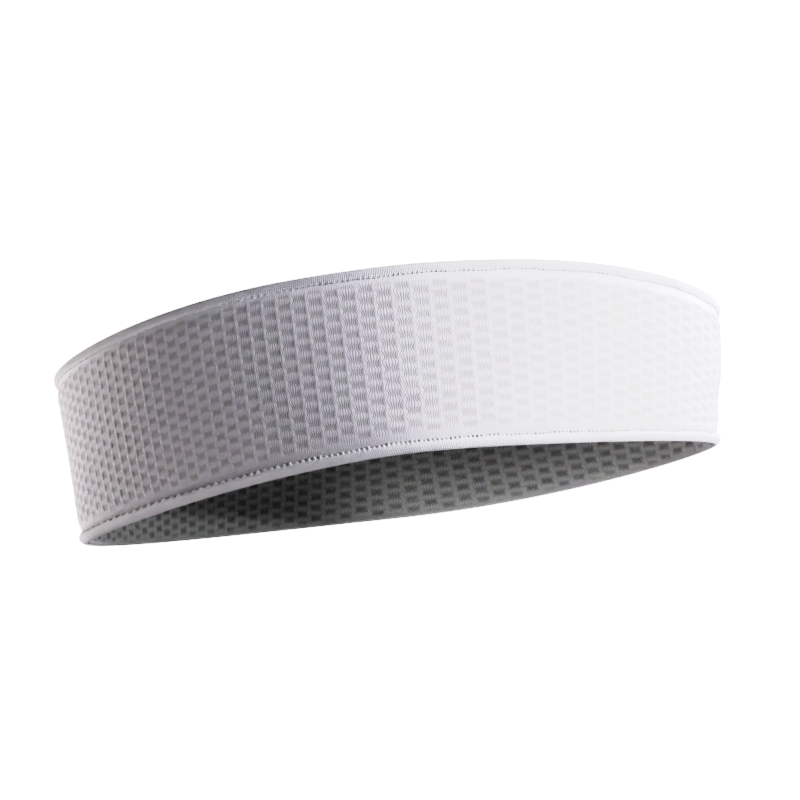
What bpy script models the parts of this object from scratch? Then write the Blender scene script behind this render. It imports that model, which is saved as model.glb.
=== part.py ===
"""A sports headband, standing on its edge and opened into a lens-shaped loop.

The band is a sandwich of three knit strips (outer shell, absorbent core, lining) held between two
rolled bindings. An elastic cord runs inside each binding, a line of topstitching closes each binding
onto the shell, and one upright seam at the rear closes the loop. Every strip is made as a front and
a rear half, which slide apart along X when the band is stretched.

Metres, +Z up. +X is the forehead end, -X is the rear end with the seam. The origin is at the bottom
centre of the band's bounding box.
"""
import math
from collections import namedtuple

import bpy
from mathutils import Vector

# ---- the two rims, each seen from above ------------------------------------------------------------
# A rim is four Bezier quarters between two tips on X and two sides on Y. The tip handles set how
# round the tips are, and the side handles set how flat the long sides are.
Rim = namedtuple("Rim", "half_length near far centre_y tip_handle near_handle far_handle")
UPPER_RIM = Rim(half_length=0.0970, near=0.0500, far=0.0500, centre_y=0.0065,
                tip_handle=0.0150, near_handle=0.0320, far_handle=0.0540)
LOWER_RIM = Rim(half_length=0.1020, near=0.0570, far=0.0460, centre_y=0.0005,
                tip_handle=0.0330, near_handle=0.0340, far_handle=0.0340)

# ---- the rims' heights -----------------------------------------------------------------------------
BAND_HEIGHT = 0.0500           # in the middle of the long sides
FRONT_RISE = 0.0065            # the upper rim at the forehead tip, above the middle
REAR_DROP = 0.0030             # the upper rim at the rear tip, below the middle
FRONT_LIFT = 0.0070            # the lower rim at the forehead tip, above the floor
REAR_LIFT = 0.0060             # the lower rim at the rear tip, above the floor
FLAT_SHARE = 0.30              # share of the half length where the lower rim lies flat on the floor

# ---- the sandwich, from the outer face inwards -----------------------------------------------------
SHELL_THICKNESS = 0.0009
CORE_DEPTH = 0.00125           # outer face of the core, below the shell's outer face
CORE_THICKNESS = 0.0008
LINING_DEPTH = 0.0024
LINING_THICKNESS = 0.0009
WALL_THICKNESS = LINING_DEPTH + LINING_THICKNESS

# ---- the rolled bindings, cords and threads --------------------------------------------------------
BINDING_HEIGHT = 0.0025
BINDING_WIDTH = 0.0033
BINDING_WALL = 0.0005
BINDING_SIDES = 8
STRIP_MARGIN = 0.0031          # from a rim to the edge of the three strips
CORE_MARGIN = 0.0042           # the core stops short of the strips' edges
ELASTIC_RADIUS = 0.0005
THREAD_RADIUS = 0.00025
CLEARANCE = 0.0003             # gap between pieces that touch

# ---- the rear seam ---------------------------------------------------------------------------------
SEAM_TURN = 1.84               # place along the loop, just past the rear tip on the far side
SEAM_HALF_TURN = 0.045
BARTACK_HALF_TURN = 0.022
SEAM_THICKNESS = 0.0005
BARTACK_HEIGHT = 0.0016
BARTACK_MARGIN = 0.0006        # from a rim to the end of its bartack

# ---- sampling --------------------------------------------------------------------------------------
QUARTER_STEPS = 14
STRIP_ROWS = 3
SPLIT_TURN = 0.002             # half of the gap between the front and rear halves, in quarter turns
SMOOTH_ANGLE = math.radians(35)

# Loop positions count quarters: 0 front tip, 1 far side, 2 rear tip, 3 near side.
HALVES = {
    "front": (-1 + SPLIT_TURN, 1 - SPLIT_TURN),
    "rear": (1 + SPLIT_TURN, 3 - SPLIT_TURN),
}
TINY_TURN = 1e-4               # step used to measure a rim's direction


# ---- the band's surface ----------------------------------------------------------------------------
def bezier(start, start_handle, end_handle, end, t):
    """A point on a cubic Bezier curve, in the plane."""
    s = 1 - t
    return (start * s ** 3 + start_handle * 3 * s * s * t
            + end_handle * 3 * s * t * t + end * t ** 3)


def rim_plan(rim, turn):
    """A rim's point in the XY plane, turn quarters from its front tip by way of its far side."""
    quarter = math.floor(turn) % 4
    t = turn - math.floor(turn)
    end_sign = 1 if quarter in (0, 3) else -1
    side, handle, side_sign = ((rim.far, rim.far_handle, 1) if quarter in (0, 1)
                               else (rim.near, rim.near_handle, -1))
    tip = Vector((end_sign * rim.half_length, 0))
    tip_handle = Vector((end_sign * rim.half_length, side_sign * rim.tip_handle))
    side_handle = Vector((end_sign * handle, side_sign * side))
    middle = Vector((0, side_sign * side))
    if quarter in (0, 2):
        point = bezier(tip, tip_handle, side_handle, middle, t)
    else:
        point = bezier(middle, side_handle, tip_handle, tip, t)
    return point + Vector((0, rim.centre_y))


def upper_point(turn):
    plan = rim_plan(UPPER_RIM, turn)
    share = plan.x / UPPER_RIM.half_length
    rise = FRONT_RISE if share > 0 else -REAR_DROP
    return Vector((plan.x, plan.y, BAND_HEIGHT + rise * share ** 2))


def lower_point(turn):
    plan = rim_plan(LOWER_RIM, turn)
    share = plan.x / LOWER_RIM.half_length
    lift = FRONT_LIFT if share > 0 else REAR_LIFT
    beyond_flat = max(0.0, abs(share) - FLAT_SHARE) / (1 - FLAT_SHARE)
    return Vector((plan.x, plan.y, lift * beyond_flat ** 2))


def inward(turn, share):
    """The level direction into the loop, at a share of the wall's height."""
    ahead = lower_point(turn + TINY_TURN).lerp(upper_point(turn + TINY_TURN), share)
    behind = lower_point(turn - TINY_TURN).lerp(upper_point(turn - TINY_TURN), share)
    along = ahead - behind
    return Vector((-along.y, along.x, 0)).normalized()


def wall_point(turn, share, depth):
    """A point of the wall: share 0 at the lower rim to 1 at the upper, depth in from the outer face."""
    surface = lower_point(turn).lerp(upper_point(turn), share)
    return surface + inward(turn, share) * depth


def wall_height(turn):
    return (upper_point(turn) - lower_point(turn)).length


def turns_between(first, last):
    """Loop positions from first to last, evenly spaced, at about QUARTER_STEPS a quarter."""
    steps = max(2, round((last - first) * QUARTER_STEPS))
    return [first + (last - first) * i / steps for i in range(steps + 1)]


# ---- making objects --------------------------------------------------------------------------------
def clear_scene():
    for item in list(bpy.data.objects):
        bpy.data.objects.remove(item, do_unlink=True)


def make_material(name, colour, roughness):
    material = bpy.data.materials.new(name)
    material.use_nodes = True
    shader = material.node_tree.nodes["Principled BSDF"]
    shader.inputs["Base Color"].default_value = (*colour, 1)
    shader.inputs["Roughness"].default_value = roughness
    shader.inputs["Metallic"].default_value = 0
    material.diffuse_color = (*colour, 1)
    return material


def make_empty(name, location):
    empty = bpy.data.objects.new(name, None)
    empty.empty_display_size = 0.02
    empty.location = location
    return empty


def add_piece(name, data, material, half):
    """Link a piece into the headband and parent it to its half's empty, which sits on the stretch axis."""
    piece = bpy.data.objects.new(name, data)
    data.materials.append(material)
    parts.objects.link(piece)
    piece.parent = half
    piece.matrix_parent_inverse = half.matrix_basis.inverted()
    return piece


def sheet_mesh(name, rows):
    """A mesh of quads through rows of points; the rows may close on themselves when first == last."""
    width = len(rows[0])
    vertices = [point for row in rows for point in row]
    faces = [(r * width + c, r * width + c + 1, (r + 1) * width + c + 1, (r + 1) * width + c)
             for r in range(len(rows) - 1) for c in range(width - 1)]
    mesh = bpy.data.meshes.new(name)
    mesh.from_pydata(vertices, [], faces)
    mesh.update()
    return mesh


def solidify(piece, thickness):
    modifier = piece.modifiers.new("thickness", "SOLIDIFY")
    modifier.thickness = thickness
    modifier.offset = -1
    modifier.use_even_offset = True
    piece.data.shade_smooth()
    piece.data.set_sharp_from_angle(angle=SMOOTH_ANGLE)


def strip(name, half, material, turns, depth, thickness, lower_margin, upper_margin):
    """A strip of cloth that follows the wall, between its margins from the two rims."""
    rows = []
    for i in range(STRIP_ROWS + 1):
        row = []
        for turn in turns:
            height = wall_height(turn)
            low = lower_margin / height
            high = 1 - upper_margin / height
            row.append(wall_point(turn, low + (high - low) * i / STRIP_ROWS, depth))
        rows.append(row)
    piece = add_piece(name, sheet_mesh(name, rows), material, half)
    solidify(piece, thickness)
    return piece


def binding_centre(turn, at_upper_rim):
    """The middle of a rolled binding's section, level with half its height from the rim."""
    share = BINDING_HEIGHT / 2 / wall_height(turn)
    centre = wall_point(turn, 1 - share if at_upper_rim else share, BINDING_WIDTH / 2)
    if at_upper_rim:
        centre.z = upper_point(turn).z - BINDING_HEIGHT / 2
    else:
        centre.z = lower_point(turn).z + BINDING_HEIGHT / 2
    return centre


def binding(name, half, material, turns, at_upper_rim):
    """A rolled binding: an open-ended sleeve of cloth around the rim, with a flat underside."""
    rows = []
    flat = math.cos(math.pi / BINDING_SIDES)
    for i in range(BINDING_SIDES):
        angle = 2 * math.pi * (i + 0.5) / BINDING_SIDES
        row = []
        for turn in turns:
            sideways = inward(turn, 1 if at_upper_rim else 0) * (-BINDING_WIDTH / 2 / flat * math.cos(angle))
            upwards = Vector((0, 0, BINDING_HEIGHT / 2 / flat * math.sin(angle)))
            row.append(binding_centre(turn, at_upper_rim) + sideways + upwards)
        rows.append(row)
    width = len(turns)
    mesh = bpy.data.meshes.new(name)
    vertices = [point for row in rows for point in row]
    faces = []
    for r in range(BINDING_SIDES):
        here, above = r * width, (r + 1) % BINDING_SIDES * width
        faces += [(here + c, here + c + 1, above + c + 1, above + c) for c in range(width - 1)]
    mesh.from_pydata(vertices, [], faces)
    mesh.update()
    piece = add_piece(name, mesh, material, half)
    solidify(piece, BINDING_WALL)
    return piece


def round_line(name, half, material, points, radius):
    """A cord or thread through points."""
    curve = bpy.data.curves.new(name, "CURVE")
    curve.dimensions = "3D"
    curve.bevel_depth = radius
    curve.bevel_resolution = 1
    curve.use_fill_caps = True
    spline = curve.splines.new("POLY")
    spline.points.add(len(points) - 1)
    for spot, point in zip(spline.points, points):
        spot.co = (*point, 1)
    return add_piece(name, curve, material, half)


def stitch_line(turns, at_upper_rim):
    """Where a topstitch thread lies: on the outer face, over the join of binding and shell."""
    outside = -(CLEARANCE + THREAD_RADIUS)
    from_rim = (BINDING_HEIGHT + STRIP_MARGIN) / 2
    points = []
    for turn in turns:
        share = from_rim / wall_height(turn)
        points.append(wall_point(turn, 1 - share if at_upper_rim else share, outside))
    return points


# ---- the pieces ------------------------------------------------------------------------------------
def build_half(end, half, turns, cloth):
    """All strips, bindings, elastics and threads of one half of the loop."""
    strip(f"outer_shell_{end}", half, cloth["shell"], turns, 0, SHELL_THICKNESS, STRIP_MARGIN, STRIP_MARGIN)
    strip(f"absorbent_core_{end}", half, cloth["core"], turns, CORE_DEPTH, CORE_THICKNESS,
          CORE_MARGIN, CORE_MARGIN)
    strip(f"inner_lining_{end}", half, cloth["lining"], turns, LINING_DEPTH, LINING_THICKNESS,
          STRIP_MARGIN, STRIP_MARGIN)
    for rim, at_upper_rim in (("upper", True), ("lower", False)):
        binding(f"{rim}_binding_{end}", half, cloth["binding"], turns, at_upper_rim)
        centres = [binding_centre(turn, at_upper_rim) for turn in turns]
        round_line(f"{rim}_elastic_{end}", half, cloth["elastic"], centres, ELASTIC_RADIUS)
        round_line(f"{rim}_topstitch_{end}", half, cloth["thread"], stitch_line(turns, at_upper_rim),
                   THREAD_RADIUS)


def build_rear_seam(half, cloth):
    """The upright seam that closes the loop, and the bartacks that lock its ends."""
    seam_turns = turns_between(SEAM_TURN - SEAM_HALF_TURN, SEAM_TURN + SEAM_HALF_TURN)
    tack_turns = turns_between(SEAM_TURN - BARTACK_HALF_TURN, SEAM_TURN + BARTACK_HALF_TURN)
    outside = -(CLEARANCE + SEAM_THICKNESS)
    margin = BARTACK_MARGIN + BARTACK_HEIGHT + 2 * CLEARANCE + 2 * THREAD_RADIUS + STRIP_MARGIN / 2
    strip("rear_seam_thread", half, cloth["thread"], seam_turns, outside, SEAM_THICKNESS, margin, margin)
    strip("rear_seam_tape", half, cloth["tape"], seam_turns, WALL_THICKNESS + CLEARANCE, SEAM_THICKNESS,
          margin, margin)
    far_margin = wall_height(SEAM_TURN) - BARTACK_MARGIN - BARTACK_HEIGHT
    strip("lower_bartack", half, cloth["thread"], tack_turns, outside, SEAM_THICKNESS,
          BARTACK_MARGIN, far_margin)
    strip("upper_bartack", half, cloth["thread"], tack_turns, outside, SEAM_THICKNESS,
          far_margin, BARTACK_MARGIN)


clear_scene()
parts = bpy.data.collections.new("sports_headband")
bpy.context.scene.collection.children.link(parts)
CLOTH = {
    "shell": make_material("shell_knit", (0.86, 0.86, 0.88), 0.85),
    "core": make_material("core_terry", (0.80, 0.80, 0.80), 0.95),
    "lining": make_material("lining_knit", (0.62, 0.62, 0.63), 0.90),
    "binding": make_material("binding_rib", (0.88, 0.88, 0.88), 0.80),
    "elastic": make_material("elastic_cord", (0.75, 0.74, 0.72), 0.60),
    "thread": make_material("sewing_thread", (0.90, 0.90, 0.90), 0.55),
    "tape": make_material("seam_tape", (0.60, 0.60, 0.61), 0.80),
}
stretch_axis_height = Vector((0, 0, BAND_HEIGHT / 2))
for end_name, (first_turn, last_turn) in HALVES.items():
    half_empty = make_empty(f"{end_name}_half", stretch_axis_height)
    parts.objects.link(half_empty)
    build_half(end_name, half_empty, turns_between(first_turn, last_turn), CLOTH)
build_rear_seam(bpy.data.objects["rear_half"], CLOTH)
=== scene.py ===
"""The looks of the sports headband: knit shell and lining, rolled bindings, stitches and seam.

Every piece is a closed loop of cloth or cord that follows the two rims of the CAD model. A place on
the wall is given by its turn along the loop, its distance from a rim and its depth below the outer face.
"""
import math
from collections import namedtuple

import bpy
import numpy as np
from mathutils import Matrix, Vector


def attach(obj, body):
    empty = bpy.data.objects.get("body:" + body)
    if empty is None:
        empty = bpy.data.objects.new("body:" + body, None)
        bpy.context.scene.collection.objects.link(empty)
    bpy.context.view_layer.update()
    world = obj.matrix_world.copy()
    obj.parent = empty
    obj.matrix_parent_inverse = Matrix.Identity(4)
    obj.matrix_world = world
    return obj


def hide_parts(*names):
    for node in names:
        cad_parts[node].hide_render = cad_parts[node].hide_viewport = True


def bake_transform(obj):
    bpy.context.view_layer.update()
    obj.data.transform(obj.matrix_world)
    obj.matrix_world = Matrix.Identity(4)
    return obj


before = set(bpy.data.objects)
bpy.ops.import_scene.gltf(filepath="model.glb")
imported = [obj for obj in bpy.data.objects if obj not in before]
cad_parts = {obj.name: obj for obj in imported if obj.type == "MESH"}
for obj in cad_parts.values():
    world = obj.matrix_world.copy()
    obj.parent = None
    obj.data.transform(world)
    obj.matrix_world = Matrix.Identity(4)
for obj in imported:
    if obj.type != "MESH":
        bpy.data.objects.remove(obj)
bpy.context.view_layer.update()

MM = 0.001

# ---- the band's two rims, as in the CAD source -----------------------------------------------------
Rim = namedtuple("Rim", "half_length near far centre_y tip_handle near_handle far_handle")
UPPER_RIM = Rim(half_length=0.0970, near=0.0500, far=0.0500, centre_y=0.0065,
                tip_handle=0.0150, near_handle=0.0320, far_handle=0.0540)
LOWER_RIM = Rim(half_length=0.1020, near=0.0570, far=0.0460, centre_y=0.0005,
                tip_handle=0.0330, near_handle=0.0340, far_handle=0.0340)
BAND_HEIGHT = 0.0500
FRONT_RISE, REAR_DROP = 0.0065, 0.0030
FRONT_LIFT, REAR_LIFT = 0.0070, 0.0060
FLAT_SHARE = 0.30
WALL_THICKNESS = 3.3 * MM
SEAM_TURN = 1.84               # the upright seam, just past the rear tip on the far side
SEAM_SINK = 0.35 * MM          # how far the seam draws in the knit
TINY_TURN = 1e-4

# ---- the knit --------------------------------------------------------------------------------------
COLUMNS = 112                  # even, because the dimples of neighbouring columns are staggered
REAR_WIDTH, FRONT_WIDTH = 5.5, 2.6   # column widths in proportion, as the photograph looks on this loop
ROW_PITCH = 3.45 * MM          # one dimple to the next, up a column
FIRST_ROW = 4.2 * MM           # the rows are counted from this far above the lower rim
DIMPLE_HALF_WIDTH = 0.44       # share of a column
DIMPLE_HALF_HEIGHT = 0.27      # share of a row
SIDE_SOFTNESS, END_SOFTNESS = 0.08, 0.16   # half widths of a dimple's sloping sides, as shares
SWAY = 0.09                    # raised cells spread over the dimples beside them, share of a column
DIMPLE_DEPTH = 0.12 * MM
# the lost depth also takes away the same share of the dimples' painted shade
SHELL_FLATTENED, LINING_FLATTENED = 0.45, 0.10    # share of the depth lost where the columns are wide
SHELL_EDGE, LINING_EDGE = 2.2 * MM, 0.45 * MM    # the strips' cut edges, from a rim
SHELL_PLAIN = 4.9 * MM         # no dimples on the shell nearer to a rim than this
SHELL_PLAIN_LOSS = 1.5 * MM    # but the plain band is this much narrower at the forehead's lower rim
LINING_PLAIN = 0.6 * MM        # no dimples on the lining nearer to a rim than this
FADE = 1.6 * MM                # the dimples grow to full depth over this distance
WALES = 7.0                    # fine ribs in a column
COURSES = 6.0                  # loops in a row of dimples
EVEN_SHIFT = 400.0             # keeps columns and rows above 0 in the shaders
COLUMN_STEPS = (0, .08, .16, .27, .5, .73, .84, .92)   # places of the mesh's points in a column
ROW_STEPS = 88                 # mesh rows up the wall
BACK_STEPS = 6                 # mesh rows on a strip's hidden face

# ---- bindings and stitches -------------------------------------------------------------------------
STITCH_PITCH = 1.7 * MM
STITCH_LINE = 2.45 * MM        # from a rim
EDGE_LINE = 2.95 * MM          # the binding's cut edge, from a rim
SHADE_WIDTH = 3.45 * MM        # the shell is painted darker this far past the cut edge
LOWER_SHADE = 0.22             # but only this much, and only at the rear, past the lower one
STITCH_RADIUS = 0.13 * MM
STITCH_SHARE = 0.80            # share of a stitch's pitch that its thread fills
TOOTH_PITCH, FRONT_TOOTH_PITCH = 1.3 * MM, 2.7 * MM   # the binding's cut edge is a row of small loops
TOOTH_STEPS = 5                # mesh points in a tooth's width
UPPER_TOOTH, LOWER_TOOTH = 0.80 * MM, 0.28 * MM
BULGE = 0.25 * MM              # how far the upper binding's roll stands out

# ---- the worn shape --------------------------------------------------------------------------------
REAR_WAIST, WAIST_PLACE, WAIST_SPREAD = 0.9 * MM, 0.70, 0.16   # its depth, and shares of the height
REAR_BELLY = 0.45 * MM
FOREHEAD_LEAN = 1.3 * MM
REAR_REACH, FRONT_REACH = 0.22, 0.20                           # in turns from the ends' tips

# ---- the cloth simulation of the padded wall -------------------------------------------------------
SWELL_ROWS = 15                # points of the coarse wall from rim to rim
SWELL_EDGE = 0.06              # its held edges, share of the wall's height
SWELL_CAP = 0.7 * MM           # the swell levels off towards this
SWELL_FRAMES = 20
SWELL_MASS, SWELL_STIFFNESS, SWELL_BENDING = 0.05, 10, 0.5
SWELL_SLACK, SWELL_PRESSURE = 0.0015, 30
SWELL = np.zeros((COLUMNS + 1, SWELL_ROWS))    # how far out it stands, filled in by simulate_swell


# ---- the wall's surface ----------------------------------------------------------------------------
def smooth(low, high, value):
    """0 below low, 1 above high, smooth between."""
    t = np.clip((value - low) / (high - low), 0, 1)
    return t * t * (3 - 2 * t)


def from_forehead(turns):
    """How many turns a place is from the forehead end's tip: 0 there, 2 at the rear tip."""
    return np.abs(np.mod(turns + 2, 4) - 2)


def rim_plan(rim, turns):
    """The rim's points in the XY plane at an array of turns: four Bezier quarters."""
    turns = np.asarray(turns, float)
    quarter = np.floor(turns).astype(int) % 4
    t = turns - np.floor(turns)
    t = np.where(np.isin(quarter, (1, 3)), 1 - t, t)       # always from the tip to the middle
    end_sign = np.where(np.isin(quarter, (0, 3)), 1.0, -1.0)
    far_side = np.isin(quarter, (0, 1))
    side = np.where(far_side, rim.far, -rim.near)
    side_handle = np.where(far_side, rim.far_handle, rim.near_handle)
    tip_handle = np.where(far_side, rim.tip_handle, -rim.tip_handle)
    s = 1 - t
    x = end_sign * (rim.half_length * (s ** 3 + 3 * s * s * t) + side_handle * 3 * s * t * t)
    y = tip_handle * 3 * s * s * t + side * (3 * s * t * t + t ** 3)
    return np.stack([x, y + rim.centre_y], axis=-1)


def upper_points(turns):
    plan = rim_plan(UPPER_RIM, turns)
    share = plan[..., 0] / UPPER_RIM.half_length
    rise = np.where(share > 0, FRONT_RISE, -REAR_DROP)
    return np.concatenate([plan, (BAND_HEIGHT + rise * share ** 2)[..., None]], axis=-1)


def lower_points(turns):
    plan = rim_plan(LOWER_RIM, turns)
    share = plan[..., 0] / LOWER_RIM.half_length
    lift = np.where(share > 0, FRONT_LIFT, REAR_LIFT)
    beyond_flat = np.maximum(0, np.abs(share) - FLAT_SHARE) / (1 - FLAT_SHARE)
    return np.concatenate([plan, (lift * beyond_flat ** 2)[..., None]], axis=-1)


class Wall:
    """The wall sampled at an array of turns."""

    def __init__(self, turns):
        self.turns = np.asarray(turns, float)
        self.low, self.high = lower_points(self.turns), upper_points(self.turns)
        self.height = np.linalg.norm(self.high - self.low, axis=-1)
        self.low_along = (rim_plan(LOWER_RIM, self.turns + TINY_TURN)
                          - rim_plan(LOWER_RIM, self.turns - TINY_TURN))
        self.high_along = (rim_plan(UPPER_RIM, self.turns + TINY_TURN)
                           - rim_plan(UPPER_RIM, self.turns - TINY_TURN))

    def up_from(self, from_rim, at_upper_rim):
        """How far up the wall the places are that lie at distances from one of its rims."""
        return self.height[:, None] - from_rim if at_upper_rim else from_rim

    def points(self, up, depth):
        """Points at distances up the wall from the lower rim, and depths below its outer face.

        up and depth have one row for each turn, or one row for all."""
        share = (up / self.height[:, None])[..., None]
        surface = self.low[:, None] * (1 - share) + self.high[:, None] * share
        along = self.low_along[:, None] * (1 - share) + self.high_along[:, None] * share
        inward = np.stack([-along[..., 1], along[..., 0], np.zeros(along.shape[:2])], axis=-1)
        inward /= np.linalg.norm(inward, axis=-1, keepdims=True)
        return surface + inward * (depth + relief(self.turns[:, None], share[..., 0]))[..., None]


def relief(turns, share):
    """How far in the worn cloth lies from its ideal surface: the rear end has a waist near its upper rim
    and a slight belly below it, the forehead end leans out at its upper rim, and the padded wall swells."""
    waist = REAR_WAIST * np.exp(-((share - WAIST_PLACE) / WAIST_SPREAD) ** 2)
    belly = REAR_BELLY * np.sin(math.pi * np.clip(share, 0, 1))
    rear = np.exp(-((turns - 2) / REAR_REACH) ** 2)
    front = np.exp(-(from_forehead(turns) / FRONT_REACH) ** 2)
    lean = FOREHEAD_LEAN * smooth(0.3, 1.0, share)
    return rear * (waist - belly) - front * lean - swell(turns, share)


def swell(turns, share):
    """How far out the simulated wall stands at turns and shares of its height, from SWELL."""
    columns = np.interp(np.mod(turns - SEAM_TURN, 4), LOOP_TURNS - SEAM_TURN, LOOP_COLUMNS)
    rows = np.clip((share - SWELL_EDGE) / (1 - 2 * SWELL_EDGE), 0, 1) * (SWELL_ROWS - 1)
    columns, rows = np.broadcast_arrays(columns, rows)
    left = np.minimum(np.floor(columns).astype(int), COLUMNS - 1)
    low = np.minimum(np.floor(rows).astype(int), SWELL_ROWS - 2)
    s, t = columns - left, rows - low
    s, t = s * s * (3 - 2 * s), t * t * (3 - 2 * t)
    return ((SWELL[left, low] * (1 - s) + SWELL[left + 1, low] * s) * (1 - t)
            + (SWELL[left, low + 1] * (1 - s) + SWELL[left + 1, low + 1] * s) * t)


def loop_table():
    """A fine table along the loop at half height, from the rear seam: turns, distances, columns."""
    turns = np.linspace(SEAM_TURN, SEAM_TURN + 4, 8001)
    middle = (lower_points(turns) + upper_points(turns)) / 2
    steps = np.linalg.norm(np.diff(middle, axis=0), axis=1)
    width = FRONT_WIDTH + (REAR_WIDTH - FRONT_WIDTH) * smooth(0.10, 1.25, from_forehead(turns[1:]))
    columns = np.concatenate([[0], np.cumsum(steps / width)])
    return turns, np.concatenate([[0], np.cumsum(steps)]), columns * COLUMNS / columns[-1]


LOOP_TURNS, LOOP_DISTANCES, LOOP_COLUMNS = loop_table()
LOOP_LENGTH = float(LOOP_DISTANCES[-1])
SEAM_COLUMN_WIDTH = float(np.interp(1.0, LOOP_COLUMNS, LOOP_DISTANCES))


def turns_at(columns):
    """The turns of places along the loop, counted in columns from the rear seam."""
    return np.interp(np.asarray(columns, float), LOOP_COLUMNS, LOOP_TURNS)


def columns_at(distances):
    """Columns at distances along the loop from the rear seam."""
    return np.interp(distances, LOOP_DISTANCES, LOOP_COLUMNS)


def column_places(steps):
    """Places around the whole loop: the same few steps in each column."""
    return (np.arange(COLUMNS)[:, None] + np.asarray(steps)[None, :]).ravel()


# ---- making meshes ---------------------------------------------------------------------------------
def ring_mesh(name, points, u, v, shares=None):
    """A closed ring: points[around][across], closed both ways, with a UV map in columns and rows.

    u has one value around for each ring of points plus the closing one; v has one row of values across
    for each ring, each with its closing value. shares names more values, one for each point."""
    around, across = points.shape[:2]
    i, j = np.meshgrid(np.arange(around), np.arange(across), indexing="ij")
    next_i, next_j = (i + 1) % around, (j + 1) % across
    corners = np.stack([i * across + j, next_i * across + j,
                        next_i * across + next_j, i * across + next_j], axis=-1).reshape(-1, 4)
    mesh = bpy.data.meshes.new(name)
    mesh.vertices.add(around * across)
    mesh.vertices.foreach_set("co", points.astype(np.float32).ravel())
    mesh.loops.add(len(corners) * 4)
    mesh.loops.foreach_set("vertex_index", corners.astype(np.int32).ravel())
    mesh.polygons.add(len(corners))
    mesh.polygons.foreach_set("loop_start", np.arange(len(corners), dtype=np.int32) * 4)
    layer = mesh.uv_layers.new(name="cloth")
    uu = np.stack([u[i], u[i + 1], u[i + 1], u[i]], axis=-1)
    vv = np.stack([v[i, j], v[next_i, j], v[next_i, j + 1], v[i, j + 1]], axis=-1)
    layer.data.foreach_set("uv", np.stack([uu, vv], axis=-1).astype(np.float32).ravel())
    for share_name, values in (shares or {}).items():
        attribute = mesh.attributes.new(share_name, "FLOAT", "POINT")
        attribute.data.foreach_set("value", values.astype(np.float32).ravel())
    mesh.update(calc_edges=True)
    mesh.validate()
    mesh.shade_smooth()
    return mesh


def simulate_swell():
    """Puffs up a coarse copy of the padded wall, held along both rims, as cloth with air in it.

    The stitched rims hold the cloth, and the core pushes shell and lining apart between them."""
    scene = bpy.context.scene
    wall = Wall(turns_at(np.arange(COLUMNS)))
    shares = np.linspace(SWELL_EDGE, 1 - SWELL_EDGE, SWELL_ROWS)
    up = np.concatenate([shares, shares[::-1]])[None, :] * wall.height[:, None]
    depth = np.repeat([0.0, WALL_THICKNESS], SWELL_ROWS)[None, :]
    start = wall.points(up, depth)
    outward = start - wall.points(up, depth + 1 * MM)
    outward /= np.linalg.norm(outward, axis=-1, keepdims=True)
    across = start.shape[1]
    mesh = ring_mesh("coarse_wall", start, np.arange(COLUMNS + 1), np.zeros((COLUMNS, across + 1)))
    piece = bpy.data.objects.new("coarse_wall", mesh)
    scene.collection.objects.link(piece)
    held = piece.vertex_groups.new(name="held")
    for row in (0, SWELL_ROWS - 1, SWELL_ROWS, across - 1):
        held.add([column * across + row for column in range(COLUMNS)], 1.0, "REPLACE")
    cloth = piece.modifiers.new("cloth", "CLOTH")
    cloth.settings.quality = 6
    cloth.settings.mass = SWELL_MASS
    cloth.settings.tension_stiffness = cloth.settings.compression_stiffness = SWELL_STIFFNESS
    cloth.settings.shear_stiffness = SWELL_STIFFNESS
    cloth.settings.bending_stiffness = SWELL_BENDING
    cloth.settings.shrink_min = cloth.settings.shrink_max = -SWELL_SLACK
    cloth.settings.vertex_group_mass = "held"
    cloth.settings.use_pressure = True
    cloth.settings.uniform_pressure_force = SWELL_PRESSURE
    cloth.settings.effector_weights.gravity = 0
    cloth.point_cache.frame_start, cloth.point_cache.frame_end = 1, SWELL_FRAMES
    first_frame = scene.frame_current
    for frame_number in range(1, SWELL_FRAMES + 1):
        scene.frame_set(frame_number)
    evaluated = piece.evaluated_get(bpy.context.evaluated_depsgraph_get())
    moved = np.empty(start.size, np.float32)
    evaluated.data.vertices.foreach_get("co", moved)
    swollen = ((moved.reshape(start.shape) - start) * outward).sum(axis=-1)[:, :SWELL_ROWS]
    for neighbour in range(2):                              # evens out single points along the loop
        swollen = (np.roll(swollen, 1, axis=0) + 2 * swollen + np.roll(swollen, -1, axis=0)) / 4
    SWELL[:COLUMNS] = SWELL_CAP * np.tanh(swollen / SWELL_CAP)
    SWELL[COLUMNS] = SWELL[0]
    bpy.data.objects.remove(piece)
    bpy.data.meshes.remove(mesh)
    scene.frame_set(first_frame)


def add_piece(name, mesh, material, nodes):
    """Put a piece in the scene, in place of its CAD nodes."""
    mesh.materials.append(material)
    piece = bpy.data.objects.new(name, mesh)
    bpy.context.scene.collection.objects.link(piece)
    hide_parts(*nodes)
    return piece


def add_loop(name, mesh, material, nodes):
    """Put a loop of cloth in the scene, which stretches between the two halves."""
    piece = add_piece(name, mesh, material, nodes)
    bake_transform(piece)
    return piece


def add_rear(name, mesh, material, nodes):
    """Put a piece of the rear seam in the scene, which rides on the rear half."""
    piece = add_piece(name, mesh, material, nodes)
    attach(piece, "rear_half")
    return piece


def both(node):
    return [f"{node}_front", f"{node}_rear"]


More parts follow.
